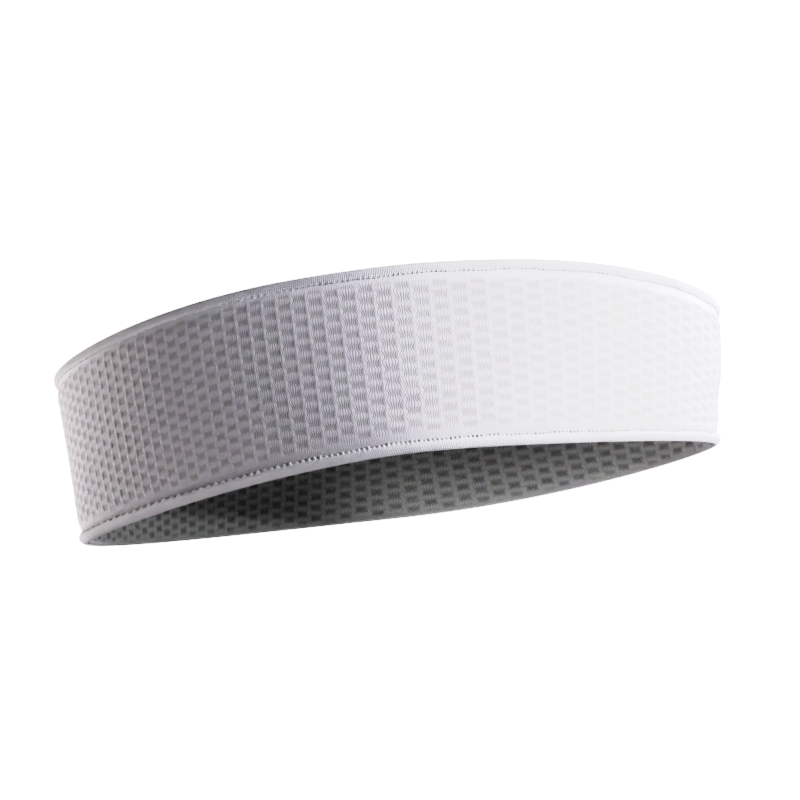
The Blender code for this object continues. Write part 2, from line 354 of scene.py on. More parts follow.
# ---- the knit strips -------------------------------------------------------------------------------
def dimple_pattern(columns, up, height, lower_plain, upper_plain):
    """The knit's dimples, 0 to 1, and how much of the pattern shows, which fades near the rims.

    lower_plain and upper_plain are the widths of the plain bands beside the rims."""
    rows = (up - FIRST_ROW) / ROW_PITCH
    columns = columns + SWAY * np.cos(2 * math.pi * rows) * np.cos(math.pi * columns)
    column = np.floor(columns)
    across = np.abs(columns - column - 0.5)
    row = rows + 0.5 * np.mod(column, 2)
    upward = np.abs(row - np.floor(row) - 0.5)
    shows = (smooth(lower_plain, lower_plain + FADE, up)
             * smooth(upper_plain, upper_plain + FADE, height - up))
    sides = 1 - smooth(DIMPLE_HALF_WIDTH - SIDE_SOFTNESS, DIMPLE_HALF_WIDTH + SIDE_SOFTNESS, across)
    ends = 1 - smooth(DIMPLE_HALF_HEIGHT - END_SOFTNESS, DIMPLE_HALF_HEIGHT + END_SOFTNESS, upward)
    return sides * ends * shows, shows


def knit_strip(name, face_depth, back_depth, edge, plain, plain_loss, flattened, material, nodes):
    """A strip of dimpled knit as a closed ring, from one edge's distance from its rim to the other's.

    face_depth and back_depth give the depths of its two faces at a distance from the nearer rim, and
    the face has the dimples. plain is the width of the plain bands, and plain_loss how much narrower
    the lower one is at the forehead. flattened is the share of the depth lost at the rear."""
    places = column_places(COLUMN_STEPS)
    wall = Wall(turns_at(places))
    height = wall.height[:, None]
    face_up = edge + (height - 2 * edge) * np.linspace(0, 1, ROW_STEPS)[None, :]
    back_up = edge + (height - 2 * edge) * np.linspace(1, 0, BACK_STEPS)[None, :]
    drawn_wide = smooth(0.6, 1.4, from_forehead(wall.turns))[:, None]
    lower_plain = plain - plain_loss * (1 - drawn_wide)
    dimple, shows = dimple_pattern(places[:, None], face_up, height, lower_plain, plain)
    # deep sets the dimples' depth and also scales their painted shade
    deep = 1 - flattened * drawn_wide
    dimple = dimple * deep
    face_rim = np.minimum(face_up, height - face_up)
    back_rim = np.minimum(back_up, height - back_up)
    inner = face_depth(face_rim.max()) > back_depth(back_rim.max())
    face = face_depth(face_rim, face_up > height / 2) + dimple * (-DIMPLE_DEPTH if inner else DIMPLE_DEPTH)
    back = back_depth(back_rim, back_up > height / 2)
    seam = np.exp(-(np.minimum(places, COLUMNS - places) / 0.12) ** 2)[:, None]
    face = face + seam * (-SEAM_SINK if inner else SEAM_SINK)
    up = np.concatenate([face_up, back_up], axis=1)
    depth = np.concatenate([face, back], axis=1)
    if inner:                                   # keeps the faces' normals outwards
        up, depth = up[:, ::-1], depth[:, ::-1]
    points = wall.points(up, depth)
    rows = (up - FIRST_ROW) / ROW_PITCH
    rows = np.concatenate([rows, rows[:, :1]], axis=1)
    upper_shade = 1 - smooth(EDGE_LINE - 0.5 * MM, EDGE_LINE + SHADE_WIDTH, height - up)
    lower_shade = LOWER_SHADE * drawn_wide * (1 - smooth(EDGE_LINE, EDGE_LINE + SHADE_WIDTH, up))
    shares = {"pattern": np.concatenate([shows, np.zeros_like(back_up)], axis=1)[:, ::-1 if inner else 1],
              "deep": deep + 0 * up,
              "shade": 0 * up if inner else np.maximum(upper_shade, lower_shade)}
    u = np.concatenate([places, [COLUMNS]])
    return add_loop(name, ring_mesh(name, points, u, rows, shares), material, nodes)


def shell_face(from_rim, upper=False):
    """Flat in the middle of the wall and drawn in under the bindings, over more cloth at the upper rim."""
    drawn_in = np.where(upper, 0.88 - 0.74 * smooth(3.4 * MM, 8.0 * MM, from_rim),
                        0.88 - 0.74 * smooth(2.6 * MM, 7.0 * MM, from_rim))
    return (drawn_in - 0.25 * smooth(6 * MM, 20 * MM, from_rim)) * MM


def shell_back(from_rim, upper=False):
    return shell_face(from_rim, upper) + 0.75 * MM


def lining_face(from_rim, upper=False):
    return (2.75 + 0.60 * smooth(0.4 * MM, 3 * MM, from_rim)) * MM


def lining_back(from_rim, upper=False):
    return lining_face(from_rim) - (0.40 + 0.35 * smooth(0.4 * MM, 3 * MM, from_rim)) * MM


# ---- bindings, cords and stitches ------------------------------------------------------------------
# The binding's section: distances from the rim and depths, in millimetres. The outer leg ends in an
# edge on the shell, and the inner leg is tucked between core and lining.
BINDING_OUTSIDE = ((2.95, .80), (2.95, .46), (2.6, .24), (2.1, .06), (1.5, .02), (.95, .14),
                   (.45, .48), (.12, 1.0), (.04, 1.5), (.25, 1.9), (.7, 2.12))
BINDING_INSIDE = ((1.6, 2.18), (2.3, 2.18), (2.3, 2.04), (1.6, 2.0), (1.05, 1.85), (.78, 1.45),
                  (.85, 1.0), (1.2, .70), (1.8, .60), (2.4, .72))


def rounded(section, steps):
    """A smooth closed line through a section's points (Catmull-Rom)."""
    p = np.array(section, float)
    before, after, later = np.roll(p, 1, 0), np.roll(p, -1, 0), np.roll(p, -2, 0)
    lines = []
    for t in np.arange(steps) / steps:
        lines.append(0.5 * (2 * p + (after - before) * t + (2 * before - 5 * p + 4 * after - later) * t * t
                            + (3 * p - before - 3 * after + later) * t ** 3))
    return np.stack(lines, axis=1).reshape(-1, 2)


def tooth_places():
    """The places of the mesh's points along a binding, counted in teeth and in columns.

    The cut edge's teeth are drawn out at the forehead end."""
    not_front = smooth(0.3, 1.0, from_forehead(LOOP_TURNS))
    pitch = FRONT_TOOTH_PITCH + (TOOTH_PITCH - FRONT_TOOTH_PITCH) * not_front
    counts = np.concatenate([[0], np.cumsum(np.diff(LOOP_DISTANCES) / pitch[1:])])
    teeth = round(float(counts[-1]))
    along = np.arange(teeth * TOOTH_STEPS) / TOOTH_STEPS
    return along, np.interp(along, counts * teeth / counts[-1], LOOP_COLUMNS)


def binding(name, at_upper_rim, material, nodes):
    """A rolled binding with a toothed cut edge on the shell, as a closed ring."""
    along, places = tooth_places()
    wall = Wall(turns_at(places))
    section = rounded(BINDING_OUTSIDE + BINDING_INSIDE, 2) * MM
    if at_upper_rim:                                        # this one stands out rounder from the shell
        section[:, 1] -= BULGE * np.exp(-((section[:, 0] - 1.7 * MM) / (0.9 * MM)) ** 2) * (
            section[:, 1] < 1.2 * MM)
    if not at_upper_rim:
        section = np.roll(section[::-1], 1, axis=0)         # starts at the cut edge both ways
    from_rim = np.repeat(section[None, :, 0], len(places), axis=0)
    depth = np.repeat(section[None, :, 1], len(places), axis=0)
    tooth = np.abs(np.mod(along, 1) - 0.5)[:, None] * 2
    size = (1 + 0.45 * np.sin(np.floor(along) * 2.4) * np.cos(np.floor(along) * 1.1))[:, None]
    at_edge = smooth(2.2 * MM, 2.9 * MM, from_rim)
    wander = (0.10 * np.sin(along * 0.31) + 0.07 * np.sin(along * 0.83 + 1))[:, None]
    length = UPPER_TOOTH if at_upper_rim else LOWER_TOOTH
    from_rim = from_rim + at_edge * ((tooth - 0.5) * size * length + wander * MM)
    outer = 1 - smooth(0.2 * MM, 1.2 * MM, depth)
    depth = depth + outer * wander * 0.4 * MM
    up = wall.up_from(from_rim, at_upper_rim)
    points = wall.points(up, depth)
    if not at_upper_rim:
        points[..., 2] = np.maximum(points[..., 2], 0)
    girth = np.concatenate([[0], np.cumsum(np.linalg.norm(
        np.diff(np.concatenate([section, section[:1]]), axis=0), axis=1))]) / ROW_PITCH
    if not at_upper_rim:
        girth = girth[-1] - girth                           # counted from the cut edge both ways
    v = np.repeat(girth[None, :], len(places), axis=0)
    u = np.concatenate([places, [COLUMNS]])
    roll = smooth(0.1 * MM, 0.9 * MM, from_rim) * (1 - smooth(1.9 * MM, 2.5 * MM, from_rim)) * outer
    at_forehead = 1 - smooth(0.6, 1.2, from_forehead(wall.turns))[:, None]
    # painted shade: the lower roll's outer face is painted darker at the forehead end
    shares = {"shade": roll * (0 if at_upper_rim else at_forehead)}    # the lower roll is darker there
    return add_loop(name, ring_mesh(name, points, u, v, shares), material, nodes)


def elastic(name, at_upper_rim, material, nodes):
    """The elastic cord in a binding, with the slight lumps of its braided cover."""
    places = column_places(np.arange(6) / 6)
    wall = Wall(turns_at(places))
    sides = 10
    angle = 2 * math.pi * np.arange(sides) / sides
    radius = (0.40 + 0.02 * np.sin(places * 12)[:, None] * np.cos(2 * angle)[None, :]) * MM
    from_rim = 1.42 * MM + radius * np.sin(angle) * (-1 if at_upper_rim else 1)
    up = wall.up_from(from_rim, at_upper_rim)
    depth = 1.40 * MM - radius * np.cos(angle)
    v = np.repeat(np.linspace(0, 1, sides + 1)[None, :], len(places), axis=0)
    u = np.concatenate([places, [COLUMNS]])
    return add_loop(name, ring_mesh(name, wall.points(up, depth), u, v), material, nodes)


def core(material):
    """The absorbent core: a terry strip with a lumpy loop pile on both faces."""
    places = column_places(np.arange(4) / 4)
    wall = Wall(turns_at(places))
    height = wall.height[:, None]
    edge = 6.2 * MM
    steps = 24
    there, back = np.linspace(0, 1, steps)[None, :], np.linspace(1, 0, steps)[None, :]
    up = np.concatenate([edge + (height - 2 * edge) * there, edge + (height - 2 * edge) * back], axis=1)
    side = np.concatenate([np.full(steps, -1.0), np.full(steps, 1.0)])[None, :]
    pile = 0.03 * np.sin(places[:, None] * 9.1 + up / MM * 1.7) * np.sin(up / MM * 2.9 - places[:, None])
    swell = 0.36 + 0.06 * np.sin(math.pi * (up - edge) / (height - 2 * edge))
    depth = (1.66 + side * (swell + pile)) * MM
    rows = up / ROW_PITCH
    rows = np.concatenate([rows, rows[:, :1]], axis=1)
    mesh = ring_mesh("absorbent_core", wall.points(up, depth), np.concatenate([places, [COLUMNS]]), rows)
    return add_loop("absorbent_core", mesh, material, both("absorbent_core"))


def thread_mesh(name, wall_runs, radius, sides=6, rings=7):
    """Short rounded lengths of thread. Each run is (columns, ups, depths) of its two ends."""
    runs = np.array(wall_runs, float)                       # run, end, (column, up, depth)
    t = np.linspace(0, 1, rings)
    swell = np.sqrt(np.maximum(0, 1 - np.abs(2 * t - 1) ** 3.2))
    line = runs[:, 0, None] * (1 - t[None, :, None]) + runs[:, 1, None] * t[None, :, None]
    flat = line.reshape(-1, 3)
    wall = Wall(turns_at(np.mod(flat[:, 0], COLUMNS)))
    arch = -0.10 * MM * np.sin(math.pi * np.tile(t, len(runs)))
    centre = wall.points(flat[:, 1:2], flat[:, 2:3] + arch[:, None])[:, 0].reshape(len(runs), rings, 3)
    outward = centre - wall.points(flat[:, 1:2], flat[:, 2:3] + 1 * MM)[:, 0].reshape(centre.shape)
    outward /= np.linalg.norm(outward, axis=-1, keepdims=True)
    along = np.gradient(centre, axis=1)
    along /= np.linalg.norm(along, axis=-1, keepdims=True)
    sideways = np.cross(along, outward)
    sideways /= np.linalg.norm(sideways, axis=-1, keepdims=True)
    angle = 2 * math.pi * np.arange(sides) / sides
    r = radius * np.maximum(swell, 0.15)[None, :, None, None]
    ring = centre[:, :, None] + r * (np.cos(angle)[None, None, :, None] * sideways[:, :, None]
                                     + np.sin(angle)[None, None, :, None] * outward[:, :, None])
    count = len(runs)
    vertices = ring.reshape(-1, 3)
    base = (np.arange(count) * rings * sides)[:, None, None]
    i, j = np.meshgrid(np.arange(rings - 1), np.arange(sides), indexing="ij")
    quads = np.stack([i * sides + j, i * sides + (j + 1) % sides,
                      (i + 1) * sides + (j + 1) % sides, (i + 1) * sides + j], axis=-1).reshape(1, -1, 4)
    faces = (quads[:, :, ::-1] + base).reshape(-1, 4).tolist()
    for start in range(count):
        first = start * rings * sides
        faces.append([first + k for k in range(sides)])
        faces.append([first + (rings - 1) * sides + k for k in reversed(range(sides))])
    mesh = bpy.data.meshes.new(name)
    mesh.from_pydata(vertices.tolist(), [], faces)
    mesh.update()
    mesh.shade_smooth()
    return mesh


def topstitch(name, at_upper_rim, material, nodes):
    """One thread's run of stitches round a rim, each a small bulge that sinks in at its ends."""
    count = round(LOOP_LENGTH / STITCH_PITCH)
    runs = []
    for n in range(count):
        first = float(columns_at((n + 0.5 - STITCH_SHARE / 2) * LOOP_LENGTH / count))
        last = float(columns_at((n + 0.5 + STITCH_SHARE / 2) * LOOP_LENGTH / count))
        height = Wall(turns_at([first])).height[0]
        sway = 0.06 * MM * math.sin(n * 1.9)
        from_rim = STITCH_LINE + sway
        up = height - from_rim if at_upper_rim else from_rim
        runs.append(((first, up, 0.36 * MM), (last, up, 0.36 * MM)))
    mesh = thread_mesh(name, runs, STITCH_RADIUS)
    return add_loop(name, mesh, material, nodes)


# ---- the rear seam ---------------------------------------------------------------------------------
def seam_thread(material):
    """A flat seam: two needle lines joined by slanting cover threads."""
    half_width = 2.2 * MM / SEAM_COLUMN_WIDTH
    margin = 5.2 * MM
    height = Wall(turns_at([0])).height[0]
    pitch = 1.5 * MM
    count = int((height - 2 * margin) / pitch)
    runs = []
    for n in range(count):
        up = margin + n * pitch
        depth = float(shell_face(np.array(min(up, height - up)))) - 0.10 * MM
        for side in (-1, 1):
            runs.append(((side * half_width, up, depth), (side * half_width, up + 0.82 * pitch, depth)))
        runs.append(((-half_width, up, depth), (half_width, up + pitch * 0.5, depth)))
        runs.append(((half_width, up + pitch * 0.5, depth), (-half_width, up + pitch, depth)))
    return add_rear("rear_seam_stitches", thread_mesh("rear_seam_stitches", runs, 0.17 * MM), material,
                    ["rear_seam_thread"])


def bartack(node, at_upper_rim, material):
    """A dense block of parallel stitches over the seam's end."""
    height = Wall(turns_at([0])).height[0]
    runs = []
    half_width = 1.5 * MM / SEAM_COLUMN_WIDTH
    for n in range(8):
        from_rim = 0.70 * MM + n * 0.26 * MM
        up = height - from_rim if at_upper_rim else from_rim
        depth = (0.12 if from_rim < 1.0 * MM else -0.06) * MM
        slant = 0.13 * MM * (-1) ** n
        runs.append(((-half_width, up - slant, depth), (half_width, up + slant, depth)))
    name = f"{node}_stitches"
    return add_rear(name, thread_mesh(name, runs, 0.16 * MM), material, [node])


def seam_tape(material):
    """The tape that covers the seam inside, a thin closed strip with bound edges."""
    margin = 5.2 * MM
    columns = np.linspace(-0.95, 0.95, 21)
    wall = Wall(turns_at(np.mod(columns, COLUMNS)))
    height = wall.height[:, None]
    steps = 50
    there, back = np.linspace(0, 1, steps)[None, :], np.linspace(1, 0, steps)[None, :]
    rise = 0.42 * (1 - (np.abs(columns) / 0.95) ** 8)[:, None] + 0.05
    up = np.concatenate([margin + (height - 2 * margin) * back, margin + (height - 2 * margin) * there],
                        axis=1)
    welt = 0.06 * np.cos(columns * 2 * math.pi * 2.1)[:, None]
    depth = np.concatenate([np.repeat(3.36 + rise + welt, steps, axis=1),
                            np.repeat(3.36 - 0.1 * rise, steps, axis=1)], axis=1) * MM
    points = wall.points(up, depth)
    around, across = points.shape[:2]
    faces = [(i * across + j, (i + 1) * across + j, (i + 1) * across + (j + 1) % across,
              i * across + (j + 1) % across) for i in range(around - 1) for j in range(across)]
    for i in (0, around - 1):
        for j in range(steps - 1):
            a, b = i * across + j, i * across + across - 1 - j
            quad = (a, a + 1, b - 1, b)
            faces.append(quad if i == 0 else quad[::-1])
    mesh = bpy.data.meshes.new("woven_seam_tape")
    mesh.from_pydata(points.reshape(-1, 3).tolist(), [], faces)
    layer = mesh.uv_layers.new(name="cloth")
    place = {}
    for i in range(around):
        for j in range(across):
            place[i * across + j] = (columns[i], up[i, j] / ROW_PITCH)
    for corner in mesh.loops:
        layer.data[corner.index].uv = place[corner.vertex_index]
    mesh.update()
    mesh.shade_smooth()
    return add_rear("woven_seam_tape", mesh, material, ["rear_seam_tape"])


# ---- materials -------------------------------------------------------------------------------------
class Shader:
    """A Principled material, with a short way to write sums as nodes."""

    def __init__(self, name, roughness, sheen=0.0):
        self.material = bpy.data.materials.new(name)
        self.material.use_nodes = True
        self.tree = self.material.node_tree
        self.principled = self.tree.nodes["Principled BSDF"]
        self.principled.inputs["Roughness"].default_value = roughness
        self.principled.inputs["Specular IOR Level"].default_value = 0.25
        self.principled.inputs["Sheen Weight"].default_value = sheen
        self.principled.inputs["Sheen Roughness"].default_value = 0.6
        uv = self.tree.nodes.new("ShaderNodeUVMap")
        uv.uv_map = "cloth"
        split = self.tree.nodes.new("ShaderNodeSeparateXYZ")
        self.tree.links.new(uv.outputs["UV"], split.inputs[0])
        self.columns, self.rows = split.outputs["X"], split.outputs["Y"]
        self.uv = uv.outputs["UV"]

    def put(self, socket, value):
        if isinstance(value, bpy.types.NodeSocket):
            self.tree.links.new(value, socket)
        else:
            socket.default_value = value

    def calculate(self, operation, *values):
        node = self.tree.nodes.new("ShaderNodeMath")
        node.operation = operation
        for socket, value in zip(node.inputs, values):
            self.put(socket, value)
        return node.outputs[0]

    def times(self, first, second):
        return self.calculate("MULTIPLY", first, second)

    def plus(self, first, second):
        return self.calculate("ADD", first, second)

    def minus(self, first, second):
        return self.calculate("SUBTRACT", first, second)

    def ramp(self, value, low, high, from_value=0.0, to_value=1.0):
        node = self.tree.nodes.new("ShaderNodeMapRange")
        node.interpolation_type = "SMOOTHSTEP"
        for name, given in (("Value", value), ("From Min", low), ("From Max", high),
                            ("To Min", from_value), ("To Max", to_value)):
            self.put(node.inputs[name], given)
        return node.outputs["Result"]

    def attribute(self, name):
        node = self.tree.nodes.new("ShaderNodeAttribute")
        node.attribute_name = name
        return node.outputs["Fac"]

    def noise(self, scale, detail=2.0, colour=False, rows_share=1.0):
        """Noise over the cloth; scale counts its lumps in a column, and rows_share draws them out."""
        stretch = self.tree.nodes.new("ShaderNodeCombineXYZ")
        self.put(stretch.inputs["X"], self.columns)
        self.put(stretch.inputs["Y"], self.times(self.rows, rows_share))
        node = self.tree.nodes.new("ShaderNodeTexNoise")
        self.put(node.inputs["Vector"], stretch.outputs[0])
        node.inputs["Scale"].default_value = scale
        node.inputs["Detail"].default_value = detail
        return node.outputs["Color" if colour else "Fac"]

    def mix(self, share, first, second, blend="MIX"):
        node = self.tree.nodes.new("ShaderNodeMix")
        node.data_type = "RGBA"
        node.blend_type = blend
        self.put(node.inputs["Factor"], share)
        self.put(node.inputs["A"], first if isinstance(first, bpy.types.NodeSocket) else (*first, 1))
        self.put(node.inputs["B"], second if isinstance(second, bpy.types.NodeSocket) else (*second, 1))
        return node.outputs["Result"]

    def finish(self, colour, height, relief_height):
        """Colour the surface, and raise it by height (0 to 1) times relief_height in metres."""
        self.put(self.principled.inputs["Base Color"], colour)
        bump = self.tree.nodes.new("ShaderNodeBump")
        bump.inputs["Strength"].default_value = 1.0
        bump.inputs["Distance"].default_value = relief_height
        self.put(bump.inputs["Height"], height)
        self.put(self.principled.inputs["Normal"], bump.outputs["Normal"])
        return self.material


def triangle(shader, value):
    """A wave from 0 to 1 and back over each whole step of value."""
    twice = shader.times(shader.calculate("FRACT", value), 2.0)
    return shader.calculate("ABSOLUTE", shader.minus(twice, 1.0))


def knit_material(name, ridge, dimple, groove, line, plain, sheen, blur, fuzzy):
    """Staggered dimples between fine wales, each wale a chain of slanting loops.

    Colours: ridge and dimple for the two kinds of cell, the dimple's darker colour partly the knit's own
    tone and partly painted shade in the hollows; groove for the gaps between the wales in a dimple, line
    for the raised line between two columns, and plain for the cloth beside the rims, which where it is
    lighter than the ridges is partly painted light.
    blur widens the dimples' blurred sides, and fuzzy is how strongly the fuzz shows. The mesh says
    where the pattern shows, how deep its dimples are, and where the cloth is in a binding's shade."""
    s = Shader(name, roughness=0.88, sheen=sheen)
    spread = s.times(s.calculate("COSINE", s.times(s.rows, 2 * math.pi)),
                     s.calculate("COSINE", s.times(s.columns, math.pi)))
    columns = s.plus(s.columns, s.times(spread, SWAY))
    courses = triangle(s, s.times(s.rows, COURSES))
    sway = s.times(s.minus(courses, 0.5), 0.22)
    wale = s.plus(s.times(columns, WALES), sway)
    rib = s.calculate("POWER", triangle(s, wale), 1.5)      # 1 in the groove between two wales
    leg = triangle(s, s.plus(s.times(s.rows, COURSES), s.times(rib, 0.5)))
    column = s.calculate("FLOOR", columns)
    across = s.calculate("ABSOLUTE", s.minus(s.calculate("FRACT", columns), 0.5))
    stagger = s.times(s.calculate("MODULO", s.plus(column, EVEN_SHIFT), 2.0), 0.5)
    row = s.plus(s.plus(s.rows, EVEN_SHIFT), stagger)
    upward = s.calculate("ABSOLUTE", s.minus(s.calculate("FRACT", row), 0.5))
    fuzz = s.noise(12.0, 3.0, rows_share=0.30)
    ragged = s.times(s.minus(s.noise(5.0), 0.5), 0.18)
    toothed = s.plus(ragged, s.times(s.minus(rib, 0.4), -0.20))
    inside = s.times(s.ramp(s.plus(across, ragged), DIMPLE_HALF_WIDTH - 0.05 - 2 * blur,
                            DIMPLE_HALF_WIDTH + 0.08, 1.0, 0.0),
                     s.ramp(s.plus(upward, toothed), DIMPLE_HALF_HEIGHT - 0.13 - blur,
                            DIMPLE_HALF_HEIGHT + 0.13 + blur, 1.0, 0.0))
    pattern = s.attribute("pattern")
    uneven = s.ramp(s.noise(1.1, 1.0), 0.30, 0.65, 0.80, 1.15)
    dip = s.times(s.times(inside, uneven), s.times(pattern, s.attribute("deep")))
    between = s.times(s.ramp(across, 0.43, 0.49, 0.0, 0.3 - 2 * blur), pattern)
    cloudy = s.ramp(s.noise(0.35, 3.0), 0.3, 0.7)
    speckle = s.noise(14.0, 1.0)
    # plain beside the rims; on the shell it is lighter than the ridges, partly as painted light
    base = s.mix(pattern, plain, ridge)
    base = s.mix(between, base, line)
    base = s.mix(s.times(cloudy, 0.35), base, [c * 0.90 for c in ridge])
    # the dimple colour: partly the knit's own tone, partly painted shade in the hollows, less where they
    # are shallow
    base = s.mix(dip, base, dimple)
    streak = s.times(rib, s.plus(0.24, s.times(dip, 0.45)))
    base = s.mix(streak, base, groove)
    base = s.mix(s.times(s.attribute("shade"), 0.80), base, groove)
    base = s.mix(s.ramp(fuzz, 0.52, 0.78, 0.0, 0.32 * fuzzy), base, line)
    base = s.mix(s.ramp(fuzz, 0.48, 0.24, 0.0, 0.28 * fuzzy), base, groove)
    base = s.mix(0.10, base, s.noise(0.9, 1.0, colour=True), "OVERLAY")
    height = s.minus(1.0, s.times(rib, 0.40))
    height = s.plus(height, s.times(fuzz, 0.55))
    height = s.minus(height, s.times(leg, 0.20))
    height = s.minus(height, s.times(dip, 0.5))
    height = s.plus(height, s.times(speckle, 0.35))
    return s.finish(base, height, 0.09 * MM)


def rib_material(name, colour, shade, edge):
    """The bindings' fine slanting ribs, and their cut edge's loops painted paler, partly as a painted
    highlight; painted shade lies where the mesh marks it.
    """
    s = Shader(name, roughness=0.82, sheen=0.25)
    slant = s.plus(s.times(s.columns, 8.0), s.times(s.rows, 1.6))
    rib = triangle(s, slant)
    cross = triangle(s, s.times(s.rows, 7.0))
    base = s.mix(s.times(s.calculate("POWER", rib, 2.0), 0.5), colour, shade)
    base = s.mix(s.times(s.ramp(s.noise(0.6, 3.0), 0.3, 0.7), 0.25), base, shade)
    # painted shade on the roll, where the mesh's shade attribute marks it
    base = s.mix(s.times(s.attribute("shade"), 0.50), base, [c * 0.8 for c in shade])
    # the cut edge's loops painted paler, partly a painted highlight
    base = s.mix(s.ramp(s.rows, 0.10, 0.26, 0.8, 0.0), base, edge)
    height = s.plus(s.minus(1.0, s.times(rib, 0.6)),
                    s.plus(s.times(cross, 0.2), s.times(s.noise(12.0), 0.3)))
    return s.finish(base, height, 0.12 * MM)


def thread_material(name, colour, shade):
    """Twisted sewing thread, which catches a little light."""
    s = Shader(name, roughness=0.50, sheen=0.15)
    coordinates = s.tree.nodes.new("ShaderNodeTexCoord").outputs["Object"]
    split = s.tree.nodes.new("ShaderNodeSeparateXYZ")
    s.put(split.inputs[0], coordinates)
    twist = s.plus(s.times(split.outputs["X"], 2600.0), s.times(split.outputs["Z"], 2600.0))
    ply = triangle(s, twist)
    return s.finish(s.mix(s.times(ply, 0.4), colour, shade), ply, 0.04 * MM)


def terry_material(name, colour, shade):
    """Short loop pile."""
    s = Shader(name, roughness=0.95, sheen=0.4)
    cells = s.tree.nodes.new("ShaderNodeTexVoronoi")
    s.put(cells.inputs["Vector"], s.uv)
    cells.inputs["Scale"].default_value = 7.0
    loops = s.ramp(cells.outputs["Distance"], 0.0, 0.6)
    return s.finish(s.mix(loops, colour, shade), s.minus(1.0, loops), 0.3 * MM)


def braid_material(name, colour, shade):
    """The elastic's braided cover: two crossing sets of strands."""
    s = Shader(name, roughness=0.60)
    one = triangle(s, s.plus(s.times(s.columns, 4.0), s.times(s.rows, 3.0)))
    two = triangle(s, s.minus(s.times(s.columns, 4.0), s.times(s.rows, 3.0)))
    strands = s.times(one, two)
    return s.finish(s.mix(strands, colour, shade), s.minus(1.0, strands), 0.10 * MM)


def tape_material(name, colour, shade):
    """A woven tape with fine crossways ribs."""
    s = Shader(name, roughness=0.80, sheen=0.1)
    rib = triangle(s, s.times(s.rows, 6.0))
    warp = triangle(s, s.times(s.columns, 9.0))
    height = s.plus(s.times(rib, 0.7), s.times(warp, 0.3))
    return s.finish(s.mix(s.times(rib, 0.6), colour, shade), height, 0.08 * MM)


def floor_material():
    """A plain pale floor, with the faintest mottling."""
    material = bpy.data.materials.new("pale_floor")
    material.use_nodes = True
    tree = material.node_tree
    shader = tree.nodes["Principled BSDF"]
    noise = tree.nodes.new("ShaderNodeTexNoise")
    noise.inputs["Scale"].default_value = 3.0
    blend = tree.nodes.new("ShaderNodeMix")
    blend.data_type = "RGBA"
    blend.inputs["A"].default_value = (0.93, 0.93, 0.93, 1)
    blend.inputs["B"].default_value = (0.95, 0.95, 0.95, 1)
    tree.links.new(noise.outputs["Fac"], blend.inputs["Factor"])
    tree.links.new(blend.outputs["Result"], shader.inputs["Base Color"])
    shader.inputs["Roughness"].default_value = 0.9
    shader.inputs["Specular IOR Level"].default_value = 0.0
    shader.inputs["Emission Color"].default_value = (1, 1, 1, 1)
    shader.inputs["Emission Strength"].default_value = FLOOR_GLOW
    return material


# ---- the studio ------------------------------------------------------------------------------------
# Scene light and the light shown: the photograph's highlights are strongly compressed.
TONE_CURVE = ((0, 0), (.2, .2), (.4, .385), (.6, .54), (.8, .665), (1.1, .75), (1.7, .825), (2.4, .865),
              (3.2, .925), (4.0, 1))
FLOOR_GLOW = 4.5
COOL, WARM = (1.0, 0.985, 1.12), (1.0, 0.94, 0.965)
CAMERA_TARGET = Vector((-0.0005, 0.0038, 0.0231))
CAMERA_DISTANCE = 0.5163
CAMERA_AZIMUTH, CAMERA_ELEVATION, CAMERA_ROLL = 0.106, 0.247, 3.015
CAMERA_LENS, SENSOR = 76.5, 36.0


def add_camera():
    """The photograph is read as taken from slightly above and turned over, hence the roll."""
    back = Vector((math.sin(CAMERA_AZIMUTH) * math.cos(CAMERA_ELEVATION),
                   -math.cos(CAMERA_AZIMUTH) * math.cos(CAMERA_ELEVATION), math.sin(CAMERA_ELEVATION)))
    right = (-back).cross(Vector((0, 0, 1))).normalized()
    up = right.cross(-back)
    turned_right = math.cos(CAMERA_ROLL) * right + math.sin(CAMERA_ROLL) * up
    turned_up = -math.sin(CAMERA_ROLL) * right + math.cos(CAMERA_ROLL) * up
    data = bpy.data.cameras.new("camera")
    data.lens, data.sensor_width = CAMERA_LENS, SENSOR
    data.clip_start, data.clip_end = 0.01, 50
    camera = bpy.data.objects.new("camera", data)
    matrix = Matrix((turned_right, turned_up, back)).transposed().to_4x4()
    matrix.translation = CAMERA_TARGET + CAMERA_DISTANCE * back
    camera.matrix_world = matrix
    bpy.context.scene.collection.objects.link(camera)
    bpy.context.scene.camera = camera


def add_softbox(name, place, power, width, height, target=(0, 0, 0.025), spread=180, colour=(1, 1, 1)):
    """A rectangular area light that faces a point of the band."""
    data = bpy.data.lights.new(name, "AREA")
    data.color = colour
    data.shape = "RECTANGLE"
    data.energy, data.size, data.size_y = power, width, height
    data.spread = math.radians(spread)
    light = bpy.data.objects.new(name, data)
    light.location = place
    light.visible_camera = False
    toward = Vector(target) - Vector(place)
    light.rotation_mode = "QUATERNION"
    light.rotation_quaternion = toward.to_track_quat("-Z", "Y")
    bpy.context.scene.collection.objects.link(light)


